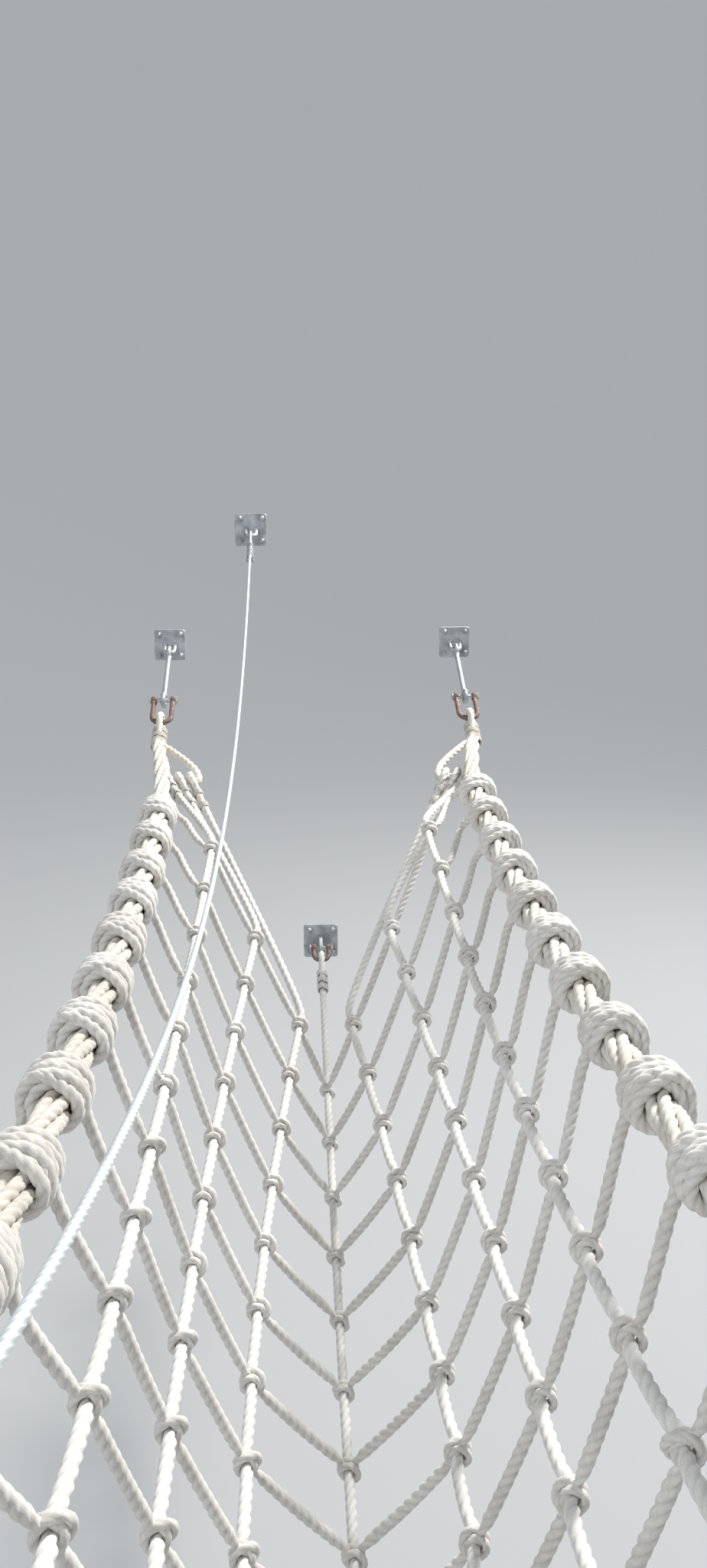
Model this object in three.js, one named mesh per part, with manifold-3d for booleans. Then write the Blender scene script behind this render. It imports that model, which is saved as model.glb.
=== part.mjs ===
// Rope suspension footbridge with a V-shaped net, knotted from three-strand rope.
// Fifteen ribs are hitched to two handrails, six side ropes and a foot rope. At both ends the
// ropes are gathered, and steel shackles, rods and plates carry them to the rock.
// Millimetres, +Y along the bridge, +Z up, the origin on the back of the near foot rope plate.

import * as THREE from "three";
import { mergeVertices } from "three/addons/utils/BufferGeometryUtils.js";
import Module from "manifold-3d";

const wasm = await Module();
wasm.setup();

// Ropes: radius of each, of the rails also where they thin into their eyes, and the slack
// between a hitch and the rope inside it
const RAIL_R = 34;
const RAIL_END_R = 26;
const SIDE_R = 14;
const FOOT_R = 13;
const RIB_R = 13;
const SLING_R = 15;
const CABLE_R = 5;
const SLACK = 0.6;

// The net: rib number k runs from -7 to 7, and rib 0 hangs in the middle of the span.
// On each line x = x0 + dx k k and z = z0 + dz k k at rib k, the ribs are pitch apart, and
// use has pulled them askew by skew, forward on the right and back on the left.
const LAST_RIB = 7;
const LINES = {
  rail: { pitch: 280, x0: 545, dx: 0.7, z0: 1127, dz: 2.6, skew: 100, r: RAIL_R },
  upper: { pitch: 266, x0: 428, dx: -0.66, z0: 844, dz: 5.97, skew: 50, r: SIDE_R },
  middle: { pitch: 248, x0: 350, dx: -2.14, z0: 548, dz: 5.69, skew: 20, r: SIDE_R },
  lower: { pitch: 234, x0: 227, dx: -2.63, z0: 241, dz: 5.8, skew: 0, r: SIDE_R },
  foot: { pitch: 235, x0: 0, dx: 0, z0: 0, dz: 5.69, skew: 0, r: FOOT_R },
};
const SIDE_NAMES = ["upper", "middle", "lower"];

// Hitches: outer radius and length of the turns round each kind of rope. On the side ropes and
// the foot rope they are a swelling of that rope, and the rib lies against it. Under the foot
// rope flats face each other, so the rib lies closer there than its corners would let it.
const HITCH = { out: 21, long: 46 };
const RIB_CLEAR = 0.4;
const KEEL_CLEAR = -1;
const RAIL_HITCH = { out: 66, long: 94, crest: 54 };
const END_HITCH = { out: 40, long: 28, crest: 12 };

// Ends: where the rail eyes, the foot eyes and the cable loops bear, and how steeply they pull
const RAIL_EYE = { x: 656, y: 2700, z: 1466, slope: 32 };
const FOOT_EYE = { x: 0, y: 2290, z: 540, slope: 24 };
const CABLE_EYE = { x: 270, y: 3000, z: 2242, slope: 28 };
const RAIL_LOOP = { hole: 26, tube: 16, sides: 12 };
const FOOT_LOOP = { hole: 20, tube: 13, sides: 12 };
const CABLE_LOOP = { hole: 13, tube: 5, sides: 8 };

// Sling: the bight that hangs from the rail near its eye and holds the three side ropes
const SLING = { x: 550, y: 2350, z: 1270, half: 67, flare: 77, rise: 24, back: 44 };
const SLING_PITCH = 40;
const SLING_START = 0.12;
const SLING_LAP = 0.6;
const SLING_CLEAR = 8;

// Safety cable: lowest height, and rise at each pitch from the middle
const CABLE_Z = 1453;
const CABLE_RISE = 4.86;
const CABLE_PITCH = 235;
const CABLE_BAYS = 12;

// Steel: shackles, rods and anchor plates
const RAIL_SHACKLE = { tube: 11, bow: 40, leg: 110 };
const FOOT_SHACKLE = { tube: 9, bow: 30, leg: 42 };
const PIN_END = 10;
const BOSS_RIM = 8;
const ROD = { tube: 10, hole: 15, sides: 8, length: 340, shank: 10 };
const STAPLE = { tube: 9, bow: 22, leg: 40 };
const PLATE = 140;
const PLATE_THICK = 12;
const TAB = { thick: 14, round: 22, root: 26, reach: 46 };
const BEAR = 0.4;

// Facets round each kind of rope, round what is wound or turned, in a shackle's bend and round
// the nose of a tab, and how close corners must lie to be one
const RAIL_SIDES = 8;
const ROPE_SIDES = 6;
const RIB_SIDES = 5;
const TURNED_SIDES = 8;
const BEND_STEPS = 6;
const TAB_STEPS = 5;
const SAME_CORNER = 0.001;

const material = (color, roughness, metalness) =>
  new THREE.MeshStandardMaterial({ color, roughness, metalness });
const RAIL_ROPE = material(0xe9e4d6, 0.85, 0);
const SIDE_ROPE = material(0xf0ece2, 0.8, 0);
const RIB_ROPE = material(0xcdc8bf, 0.85, 0);
const BRIGHT_STEEL = material(0xc3cbd0, 0.4, 1);
const RUSTY_STEEL = material(0x8a5f54, 0.8, 0.4);
const CABLE_STEEL = material(0xb4c4ca, 0.45, 0.9);

const radians = (degrees) => (degrees * Math.PI) / 180;
const KEEL_TURN = radians(50);
const vec = (x, y, z) => new THREE.Vector3(x, y, z);

// Turns a closed geometry into a solid for joining and cutting
function solid(geometry) {
  const bare = new THREE.BufferGeometry();
  bare.setAttribute("position", geometry.getAttribute("position"));
  if (geometry.index) {
    bare.setIndex(geometry.index);
  }
  const merged = mergeVertices(bare, SAME_CORNER);
  const triangles = [];
  const index = merged.index.array;
  for (let i = 0; i < index.length; i += 3) {
    const [a, b, c] = [index[i], index[i + 1], index[i + 2]];
    if (a !== b && b !== c && c !== a) {
      triangles.push(a, b, c);
    }
  }
  return new wasm.Manifold(new wasm.Mesh({
    numProp: 3,
    vertProperties: new Float32Array(merged.getAttribute("position").array),
    triVerts: new Uint32Array(triangles),
  }));
}

function joined(solids) {
  return solids.reduce((sum, next) => sum.add(next));
}

function geometryOf(body) {
  const mesh = body.getMesh();
  const geometry = new THREE.BufferGeometry();
  geometry.setAttribute("position", new THREE.BufferAttribute(new Float32Array(mesh.vertProperties), 3));
  geometry.setIndex(new THREE.BufferAttribute(new Uint32Array(mesh.triVerts), 1));
  geometry.computeVertexNormals();
  return geometry;
}

function named(name, body, look) {
  const mesh = new THREE.Mesh(geometryOf(body), look);
  mesh.name = name;
  return mesh;
}

// A line of straight stretches, so that a rope has its corners exactly at the given points
class Stretches extends THREE.Curve {
  constructor(points) {
    super();
    this.points = points;
  }

  getUtoTmapping(u) {
    return u;
  }

  getPoint(t, target = vec(0, 0, 0)) {
    const along = t * (this.points.length - 1);
    const i = Math.min(Math.floor(along), this.points.length - 2);
    return target.lerpVectors(this.points[i], this.points[i + 1], along - i);
  }
}

function disc(radius, sides) {
  const shape = new THREE.Shape();
  for (let i = 0; i < sides; i += 1) {
    const turn = (2 * Math.PI * i) / sides;
    const [x, y] = [radius * Math.cos(turn), radius * Math.sin(turn)];
    if (i === 0) {
      shape.moveTo(x, y);
    } else {
      shape.lineTo(x, y);
    }
  }
  shape.closePath();
  return shape;
}

// A rope through the points, as thick at each as radii says: one number, or one for each point
function rope(points, radii, sides) {
  const geometry = new THREE.ExtrudeGeometry(disc(1, sides), {
    steps: points.length - 1,
    extrudePath: new Stretches(points),
  });
  const place = geometry.getAttribute("position");
  const corner = vec(0, 0, 0);
  for (let i = 0; i < place.count; i += 1) {
    corner.fromBufferAttribute(place, i);
    const nearest = points.reduce((best, point, j) => (
      point.distanceToSquared(corner) < points[best].distanceToSquared(corner) ? j : best), 0);
    const radius = Array.isArray(radii) ? radii[nearest] : radii;
    corner.sub(points[nearest]).multiplyScalar(radius).add(points[nearest]);
    place.setXYZ(i, corner.x, corner.y, corner.z);
  }
  return solid(geometry);
}

// The route of a rope with a swelling at every rib: points and radii
function hitchedRoute(line, side) {
  const points = [];
  const radii = [];
  for (const k of ribNumbers()) {
    const centre = crossing(line, side, k);
    const along = tangent(line, side, k);
    for (const step of [-1, 0, 1]) {
      points.push(centre.clone().addScaledVector(along, (step * HITCH.long) / 2));
      radii.push(step === 0 ? HITCH.out : line.r);
    }
  }
  return { points, radii };
}

function extended(route, end, point, radius) {
  if (end < 0) {
    route.points.unshift(point);
    route.radii.unshift(radius);
  } else {
    route.points.push(point);
    route.radii.push(radius);
  }
}

// A closed turn of rope round an axis: inside clears a rope of radius inner by the slack
function turns(centre, axis, inner, size) {
  const hole = (inner + SLACK) / Math.cos(Math.PI / TURNED_SIDES);
  const profile = [
    new THREE.Vector2(hole, -size.long / 2),
    new THREE.Vector2(size.out, -size.crest / 2),
    new THREE.Vector2(size.out, size.crest / 2),
    new THREE.Vector2(hole, size.long / 2),
    new THREE.Vector2(hole, -size.long / 2),
  ];
  const geometry = new THREE.LatheGeometry(profile, TURNED_SIDES, Math.PI / TURNED_SIDES);
  geometry.applyQuaternion(new THREE.Quaternion().setFromUnitVectors(vec(0, 1, 0), axis));
  geometry.translate(centre.x, centre.y, centre.z);
  return solid(geometry);
}

// A point of a line at distance y along the bridge, on side -1 (left) or 1 (right)
function linePoint(line, side, y) {
  const k = y / line.pitch;
  return vec(side * (line.x0 + line.dx * k * k), y, line.z0 + line.dz * k * k);
}

function crossing(line, side, k) {
  return linePoint(line, side, line.pitch * k + side * line.skew);
}

function tangent(line, side, k) {
  const y = line.pitch * k + side * line.skew;
  return linePoint(line, side, y + 1).sub(linePoint(line, side, y - 1)).normalize();
}

// The pull of an end: unit vector away from the bridge, rising by the slope
function pull(end, slope) {
  return vec(0, end * Math.cos(radians(slope)), Math.sin(radians(slope)));
}

function eyePoint(eye, side, end) {
  return vec(side * eye.x, end * eye.y, eye.z);
}

// A ring of round bar in the plane of Y and Z, with a flat of its facets at +Y
function ring(hole, tube, sides) {
  const geometry = new THREE.TorusGeometry(hole + tube, tube, ROPE_SIDES, sides);
  geometry.rotateZ(Math.PI / sides);
  geometry.rotateY(Math.PI / 2);
  return geometry;
}

// From the middle of a ring to the flat inside it, where it bears
function mouth(size) {
  return size.hole * Math.cos(Math.PI / size.sides);
}

// An eye at the end of a rope: its ring, and the neck where the rope runs into it
function ropeEye(size, bearing, end, slope) {
  const geometry = ring(size.hole, size.tube, size.sides);
  const along = pull(end, slope);
  geometry.rotateX(end > 0 ? radians(slope) : Math.PI - radians(slope));
  const centre = bearing.clone().addScaledVector(along, -mouth(size));
  geometry.translate(centre.x, centre.y, centre.z);
  return { body: solid(geometry), neck: centre.addScaledVector(along, -size.hole - size.tube) };
}

function ribNumbers() {
  return Array.from({ length: 2 * LAST_RIB + 1 }, (unused, i) => i - LAST_RIB);
}

function slingBand(side, end) {
  const at = (dx, dy, dz) => vec(side * (SLING.x + dx), end * (SLING.y + dy), SLING.z + dz);
  return {
    outerBend: at(SLING.flare, SLING.back, SLING.rise),
    outer: at(SLING.half, 0, 0),
    inner: at(-SLING.half, 0, 0),
    innerBend: at(-SLING.flare, SLING.back, SLING.rise),
    hitch: (row) => at((1 - row) * SLING_PITCH, 0, 0),
  };
}

// Handrail: a thick bundle of rope, thinner at its ends, with an eye and a sling at each
function handrail(side) {
  const route = {
    points: ribNumbers().map((k) => crossing(LINES.rail, side, k)),
    radii: ribNumbers().map(() => RAIL_R),
  };
  const ends = [];
  for (const end of [-1, 1]) {
    const eye = ropeEye(RAIL_LOOP, eyePoint(RAIL_EYE, side, end), end, RAIL_EYE.slope);
    const lastRib = crossing(LINES.rail, side, end * LAST_RIB);
    const straight = tangent(LINES.rail, side, end * LAST_RIB).multiplyScalar(end * RAIL_HITCH.long);
    extended(route, end, lastRib.clone().add(straight), RAIL_R);
    extended(route, end, eye.neck, RAIL_END_R);
    const start = eye.neck.clone().lerp(lastRib, SLING_START);
    const band = slingBand(side, end);
    ends.push(eye.body);
    const bight = [start, band.outerBend, band.outer, band.inner, band.innerBend];
    ends.push(rope(bight, SLING_R, ROPE_SIDES));
    const back = band.inner.clone().lerp(band.innerBend, SLING_LAP);
    ends.push(rope([back, start], SLING_R, ROPE_SIDES));
  }
  return joined([rope(route.points, route.radii, RAIL_SIDES), ...ends]);
}

// Side rope: runs through every rib and ends in a hitch on each sling
function sideRope(side, row) {
  const route = hitchedRoute(LINES[SIDE_NAMES[row]], side);
  const hitches = [];
  for (const end of [-1, 1]) {
    const hold = slingBand(side, end).hitch(row);
    const last = end < 0 ? route.points[0] : route.points[route.points.length - 1];
    const towards = hold.clone().sub(last).normalize();
    const stop = hold.clone().addScaledVector(towards, -SLING_R - SLING_CLEAR);
    extended(route, end, stop, SIDE_R);
    hitches.push(turns(hold, vec(1, 0, 0), SLING_R, END_HITCH));
  }
  return joined([rope(route.points, route.radii, ROPE_SIDES), ...hitches]);
}

// Foot rope: the keel of the V, with an eye at each end
function footRope() {
  const route = hitchedRoute(LINES.foot, 1);
  const eyes = [];
  for (const end of [-1, 1]) {
    const eye = ropeEye(FOOT_LOOP, eyePoint(FOOT_EYE, 1, end), end, FOOT_EYE.slope);
    extended(route, end, eye.neck, FOOT_R);
    eyes.push(eye.body);
  }
  return joined([rope(route.points, route.radii, ROPE_SIDES), ...eyes]);
}

// Rib: one rope from rail to rail, outside the side ropes and under the foot rope, with its
// ends wound round the handrails
function rib(k) {
  const left = ["rail", ...SIDE_NAMES].map((row) => ({ line: LINES[row], side: -1 }));
  const right = left.map(({ line }) => ({ line, side: 1 })).reverse();
  const stops = [...left, { line: LINES.foot, side: 1 }, ...right];
  const centres = stops.map((stop) => crossing(stop.line, stop.side, k));
  const windings = [];
  const route = stops.flatMap((stop, i) => {
    const centre = centres[i];
    const axis = tangent(stop.line, stop.side, k);
    const off = HITCH.out + RIB_R + (stop.line === LINES.foot ? KEEL_CLEAR : RIB_CLEAR);
    if (stop.line === LINES.rail) {
      const towards = centres[i === 0 ? 1 : i - 1].clone().sub(centre);
      towards.addScaledVector(axis, -towards.dot(axis)).normalize();
      windings.push(turns(centre, axis, RAIL_R, RAIL_HITCH));
      return [centre.clone().addScaledVector(towards, RAIL_R + RIB_R + RIB_CLEAR)];
    }
    if (stop.line === LINES.foot) {
      return [-KEEL_TURN, 0, KEEL_TURN].map((turn) => {
        const down = vec(Math.sin(turn), axis.z * Math.cos(turn), -axis.y * Math.cos(turn));
        return centre.clone().addScaledVector(down, off / Math.cos(KEEL_TURN / 2));
      });
    }
    const along = centres[i + 1].clone().sub(centres[i - 1]).normalize();
    const outward = vec(0, 0, 0).crossVectors(axis, along).normalize();
    const outside = Math.sign(outward.dot(vec(stop.side, 0, -1)));
    return [centre.clone().addScaledVector(outward, outside * off)];
  });
  return joined([rope(route, RIB_R, RIB_SIDES), ...windings]);
}

// Safety cable: a steel wire rope above the left side ropes, with a loop at each end
function safetyCable() {
  const route = { points: [], radii: [] };
  for (let k = -CABLE_BAYS; k <= CABLE_BAYS; k += 2) {
    route.points.push(vec(-CABLE_EYE.x, k * CABLE_PITCH, CABLE_Z + CABLE_RISE * k * k));
  }
  const loops = [];
  for (const end of [-1, 1]) {
    const eye = ropeEye(CABLE_LOOP, eyePoint(CABLE_EYE, -1, end), end, CABLE_EYE.slope);
    extended(route, end, eye.neck, CABLE_R);
    loops.push(eye.body);
  }
  return joined([rope(route.points, CABLE_R, ROPE_SIDES), ...loops]);
}

// The steel parts are drawn with +Y as the pull, from the point where the loop bears on them
function bar(from, to, radius) {
  return rope([from, to], radius, TURNED_SIDES);
}

const bowAt = (size) => -size.tube * Math.cos(Math.PI / ROPE_SIDES) - BEAR;
const pinAt = (size) => bowAt(size) + size.bow + size.leg;

function bow(size) {
  const points = [];
  const apex = bowAt(size);
  for (let i = 0; i <= BEND_STEPS; i += 1) {
    const turn = Math.PI * (i / BEND_STEPS - 0.5);
    points.push(vec(size.bow * Math.sin(turn), apex + size.bow - size.bow * Math.cos(turn), 0));
  }
  const stop = pinAt(size);
  points.unshift(vec(-size.bow, stop, 0));
  points.push(vec(size.bow, stop, 0));
  return { body: rope(points, size.tube, ROPE_SIDES), stop };
}

function shackle(size) {
  const { body, stop } = bow(size);
  const reach = size.bow + size.tube;
  const pin = bar(vec(-reach - PIN_END, stop, 0), vec(reach + PIN_END, stop, 0), size.tube);
  const bosses = [-1, 1].map((side) => bar(
    vec(side * (size.bow - size.tube), stop, 0),
    vec(side * reach, stop, 0),
    size.tube + BOSS_RIM,
  ));
  return joined([body, pin, ...bosses]);
}

const ROD_START = pinAt(RAIL_SHACKLE) - RAIL_SHACKLE.tube - BEAR + mouth(ROD);
const ROD_STOP = ROD_START + ROD.length;
const ROD_BEARING = ROD_STOP + mouth(ROD);

function anchorRod() {
  const gap = ROD.hole + ROD.tube;
  const eyes = [ROD_START, ROD_STOP].map((y) => {
    const geometry = ring(ROD.hole, ROD.tube, ROD.sides);
    geometry.translate(0, y, 0);
    return solid(geometry);
  });
  return joined([...eyes, bar(vec(0, ROD_START + gap, 0), vec(0, ROD_STOP - gap, 0), ROD.shank)]);
}

function plateSlab() {
  return new THREE.BoxGeometry(PLATE, PLATE_THICK, PLATE);
}

// Plate with a staple: the staple leans with the pull, and the plate stands upright
function staplePlate(slope) {
  const { body, stop } = bow(STAPLE);
  const tilt = radians(slope);
  const mesh = geometryOf(body);
  mesh.rotateX(tilt);
  const slab = plateSlab();
  slab.translate(0, stop * Math.cos(tilt), stop * Math.sin(tilt));
  return solid(mesh).add(solid(slab));
}

// Plate with a tab: an upright tab with a hole for the pin of the foot rope's shackle
function tabPlate(slope) {
  const pin = pinAt(FOOT_SHACKLE);
  const stop = pin + TAB.reach;
  const tilt = radians(slope);
  const lean = TAB.root * Math.tan(tilt);
  const shape = new THREE.Shape();
  shape.moveTo(TAB.reach - lean, -TAB.root);
  shape.lineTo(TAB.reach + lean, TAB.root);
  shape.lineTo(0, TAB.round);
  shape.absarc(0, 0, TAB.round, Math.PI / 2, (3 * Math.PI) / 2, false);
  shape.closePath();
  const hole = FOOT_SHACKLE.tube + BEAR;
  shape.holes.push(new THREE.Path(disc(hole, TURNED_SIDES).getPoints()));
  const tab = new THREE.ExtrudeGeometry(shape, {
    depth: TAB.thick,
    bevelEnabled: false,
    curveSegments: TAB_STEPS,
  });
  tab.translate(0, 0, -TAB.thick / 2);
  tab.applyMatrix4(new THREE.Matrix4().makeBasis(vec(0, 1, 0), vec(0, 0, 1), vec(1, 0, 0)));
  tab.translate(0, pin, 0);
  tab.rotateX(tilt);
  const slab = plateSlab();
  slab.translate(0, stop * Math.cos(tilt), stop * Math.sin(tilt));
  return { body: solid(tab).add(solid(slab)), stop };
}

const ENDS = [["near", -1], ["far", 1]];
const SIDES = [["left", -1], ["right", 1]];

// Puts a steel part at an eye: turned round for the near end, and tilted if it follows the pull
function placed(mesh, bearing, end, slope) {
  mesh.position.copy(bearing);
  mesh.rotation.order = "ZXY";
  mesh.rotation.set(radians(slope), 0, end < 0 ? Math.PI : 0);
  return mesh;
}

const bridge = new THREE.Group();
for (const [sideName, side] of SIDES) {
  bridge.add(named(`handrail_${sideName}`, handrail(side), RAIL_ROPE));
  SIDE_NAMES.forEach((row, i) => {
    bridge.add(named(`side_rope_${sideName}_${row}`, sideRope(side, i), SIDE_ROPE));
  });
}
bridge.add(named("foot_rope", footRope(), SIDE_ROPE));
for (const k of ribNumbers()) {
  const number = String(k + LAST_RIB + 1).padStart(2, "0");
  bridge.add(named(`rib_rope_${number}`, rib(k), RIB_ROPE));
}
bridge.add(named("safety_cable", safetyCable(), CABLE_STEEL));

const footPlate = tabPlate(FOOT_EYE.slope);
for (const [endName, end] of ENDS) {
  for (const [sideName, side] of SIDES) {
    const bearing = eyePoint(RAIL_EYE, side, end);
    const corner = `${endName}_${sideName}`;
    const plateBearing = bearing.clone().addScaledVector(pull(end, RAIL_EYE.slope), ROD_BEARING);
    bridge.add(placed(named(`shackle_${corner}`, shackle(RAIL_SHACKLE), RUSTY_STEEL),
      bearing, end, RAIL_EYE.slope));
    bridge.add(placed(named(`anchor_rod_${corner}`, anchorRod(), BRIGHT_STEEL),
      bearing, end, RAIL_EYE.slope));
    bridge.add(placed(named(`anchor_plate_${corner}`, staplePlate(RAIL_EYE.slope), BRIGHT_STEEL),
      plateBearing, end, 0));
  }
  const foot = eyePoint(FOOT_EYE, 1, end);
  bridge.add(placed(named(`foot_shackle_${endName}`, shackle(FOOT_SHACKLE), RUSTY_STEEL),
    foot, end, FOOT_EYE.slope));
  bridge.add(placed(named(`foot_plate_${endName}`, footPlate.body, BRIGHT_STEEL), foot, end, 0));
  bridge.add(placed(named(`cable_plate_${endName}`, staplePlate(CABLE_EYE.slope), BRIGHT_STEEL),
    eyePoint(CABLE_EYE, -1, end), end, 0));
}

// The origin goes to the middle of the back face of the near foot plate
const footTilt = radians(FOOT_EYE.slope);
const backY = FOOT_EYE.y + footPlate.stop * Math.cos(footTilt) + PLATE_THICK / 2;
const backZ = FOOT_EYE.z + footPlate.stop * Math.sin(footTilt);
bridge.position.set(0, backY, -backZ);

const model = new THREE.Group();
model.add(bridge);
export default model;
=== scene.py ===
"""A rope suspension footbridge, dressed for the studio.

Every rope has its strands, every rib is tied to the side ropes and the foot rope with clove
hitches and wound round the handrails, and the steel at the ends has nuts, washers and welds.
Metres, in the row frame: +Y along the bridge, +Z up, the origin on the back of the near foot plate.
"""

import math

import bpy
import numpy as np
from mathutils import Matrix, Vector

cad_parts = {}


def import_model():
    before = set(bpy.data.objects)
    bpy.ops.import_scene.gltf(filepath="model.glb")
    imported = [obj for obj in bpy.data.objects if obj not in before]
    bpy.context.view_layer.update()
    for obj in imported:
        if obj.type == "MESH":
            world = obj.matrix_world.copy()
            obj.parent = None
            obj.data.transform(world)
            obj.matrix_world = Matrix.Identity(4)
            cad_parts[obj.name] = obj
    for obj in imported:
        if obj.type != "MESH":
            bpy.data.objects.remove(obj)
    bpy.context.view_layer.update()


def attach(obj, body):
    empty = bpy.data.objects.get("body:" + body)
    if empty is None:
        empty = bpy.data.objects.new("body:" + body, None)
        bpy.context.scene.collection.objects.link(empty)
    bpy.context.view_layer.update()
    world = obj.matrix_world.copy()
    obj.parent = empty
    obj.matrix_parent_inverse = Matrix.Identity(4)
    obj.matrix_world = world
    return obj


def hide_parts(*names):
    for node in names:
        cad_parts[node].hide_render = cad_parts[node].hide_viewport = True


# The net, as in the part's source: on each line x = x0 + dx k k and z = z0 + dz k k at rib k, the
# ribs are pitch apart, and use has pulled them askew, forward on the right and back on the left.
NET = np.array([0.0, 2.3963, -0.5847])
LAST_RIB = 7
RIBS = range(-LAST_RIB, LAST_RIB + 1)
LINES = {
    "rail": {"pitch": 0.280, "x0": 0.545, "dx": 0.7e-3, "z0": 1.127, "dz": 2.6e-3, "skew": 0.100},
    "upper": {"pitch": 0.266, "x0": 0.428, "dx": -0.66e-3, "z0": 0.844, "dz": 5.97e-3, "skew": 0.050},
    "middle": {"pitch": 0.248, "x0": 0.350, "dx": -2.14e-3, "z0": 0.548, "dz": 5.69e-3, "skew": 0.020},
    "lower": {"pitch": 0.234, "x0": 0.227, "dx": -2.63e-3, "z0": 0.241, "dz": 5.8e-3, "skew": 0.0},
    "foot": {"pitch": 0.235, "x0": 0.0, "dx": 0.0, "z0": 0.0, "dz": 5.69e-3, "skew": 0.0},
}
ROWS = ["upper", "middle", "lower"]
SIDES = {"left": -1, "right": 1}
ENDS = {"near": -1, "far": 1}

# Radii of the ropes. The rails are bundles of ropes and thin into their eyes.
RAIL_R = 0.034
RAIL_END_R = 0.026
RAIL_ROPES = 5
RAIL_ROPE_R = 0.0132
RAIL_TURN = 0.62
SIDE_R = 0.014
FOOT_R = 0.013
RIB_R = 0.013
SLING_R = 0.015
CABLE_R = 0.0055
WHIPPING_R = 0.0028

# Where the eyes bear, in net coordinates, and how steeply they pull, in degrees
RAIL_EYE = {"x": 0.656, "y": 2.700, "z": 1.466, "slope": 32}
FOOT_EYE = {"x": 0.0, "y": 2.290, "z": 0.540, "slope": 24}
CABLE_EYE = {"x": 0.270, "y": 3.000, "z": 2.242, "slope": 28}
# The loops at the ends: the radii of the hole and the rope, and how many corners the solid's hole has
RAIL_LOOP = {"hole": 0.026, "tube": 0.016, "corners": 12}
FOOT_LOOP = {"hole": 0.020, "tube": 0.013, "corners": 12}
CABLE_LOOP = {"hole": 0.013, "tube": 0.005, "corners": 8}

# The sling at each end of a handrail, in net coordinates: the middle of the band that holds the
# side ropes, half its width, and where its legs bend up towards the handrail
SLING = {
    "x": 0.550, "y": 2.350, "z": 1.270,
    "half": 0.072, "flare": 0.058, "rise": 0.034, "back": 0.050,
}
SLING_PITCH = 0.048

# The safety cable: z = CABLE_Z + CABLE_RISE k k at k times its pitch from the middle
CABLE_Z = 1.453
CABLE_RISE = 4.86e-3
CABLE_PITCH = 0.235
CABLE_BAYS = 12

# The length of rope in which its strands make one turn
EYE_LAY = 0.085
SLING_LAY = 0.090
RAIL_LAY = 0.085
SIDE_LAY = 0.088
FOOT_LAY = 0.090
FOOT_EYE_LAY = 0.080
RIB_LAY = 0.072
CABLE_LAY = 0.085

# Steel
RAIL_SHACKLE = {"tube": 0.011, "bow": 0.040, "leg": 0.110}
FOOT_SHACKLE = {"tube": 0.009, "bow": 0.030, "leg": 0.042}
ROD = {"tube": 0.010, "hole": 0.015, "length": 0.340, "shank": 0.010}
STAPLE = {"tube": 0.009, "bow": 0.022, "leg": 0.040}
PLATE = 0.140
PLATE_THICK = 0.012
TAB = {"thick": 0.014, "round": 0.022, "root": 0.026, "reach": 0.046}
BEAR = 0.0004

RIGHT = np.array([1.0, 0.0, 0.0])
AHEAD = np.array([0.0, 1.0, 0.0])
UP = np.array([0.0, 0.0, 1.0])
rng = np.random.RandomState(7)


def vec(x, y, z):
    return np.array([x, y, z], float)


def unit(v):
    return v / np.linalg.norm(v)


def square_to(v, axis):
    """v made perpendicular to the axis, with length 1."""
    return unit(v - np.dot(v, axis) * axis)


def arc(centre, reach, first, second, angles):
    """Points round a centre, by their angles in degrees from the first direction to the second."""
    return [centre + reach * (math.cos(a) * first + math.sin(a) * second) for a in np.radians(angles)]


def lengthened(points, more, end):
    """A route with more points beyond its far end or, turned round, beyond its near end."""
    return [*points, *more] if end > 0 else [*more[::-1], *points]


# Pieces


class Piece:
    """The faces of the object that stands for a node, and where they lie on the straightened rope."""

    def __init__(self, node, kind):
        self.node = node
        self.name = f"{node}_{kind}"
        self.points = []
        self.places = []
        self.faces = []
        self.smooth = []
        self.looks = []
        self.count = 0

    def add(self, points, faces, look=0, smooth=True, places=None):
        points = np.asarray(points, float)
        self.points.append(points)
        self.places.append(points if places is None else places)
        self.faces += [[i + self.count for i in face] for face in faces]
        self.smooth += [smooth] * len(faces)
        self.looks += [look] * len(faces)
        self.count += len(points)

    def moved(self, matrix, first=0):
        """Turns and moves what was added from the given part on, by a 4 by 4 matrix."""
        for i in range(first, len(self.points)):
            self.points[i] = self.points[i] @ matrix[:3, :3].T + matrix[:3, 3]
        return self

    def build(self, slot, looks):
        mesh = bpy.data.meshes.new(self.name)
        mesh.from_pydata(np.vstack(self.points).tolist(), [], self.faces)
        mesh.polygons.foreach_set("use_smooth", self.smooth)
        mesh.polygons.foreach_set("material_index", self.looks)
        place = mesh.attributes.new("place", "FLOAT_VECTOR", "POINT")
        place.data.foreach_set("vector", np.vstack(self.places).astype(np.float32).ravel())
        for look in looks[slot]:
            mesh.materials.append(look)
        mesh.update()
        piece = bpy.data.objects.new(self.name, mesh)
        bpy.context.scene.collection.objects.link(piece)
        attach(piece, "root")
        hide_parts(self.node)


def grid_faces(rows, columns):
    """Quads between closed rings. They split across a laid rope's twist, so its edge stays smooth."""
    faces = []
    for i in range(rows - 1):
        here, there = i * columns, (i + 1) * columns
        for j in range(columns):
            k = (j + 1) % columns
            faces.append([here + k, there + k, there + j, here + j])
    return faces


# The cosine from which two directions count as parallel, and the least step along a plain bar
NEARLY_PARALLEL = 0.95
PLAIN_STEP = 0.006


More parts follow.
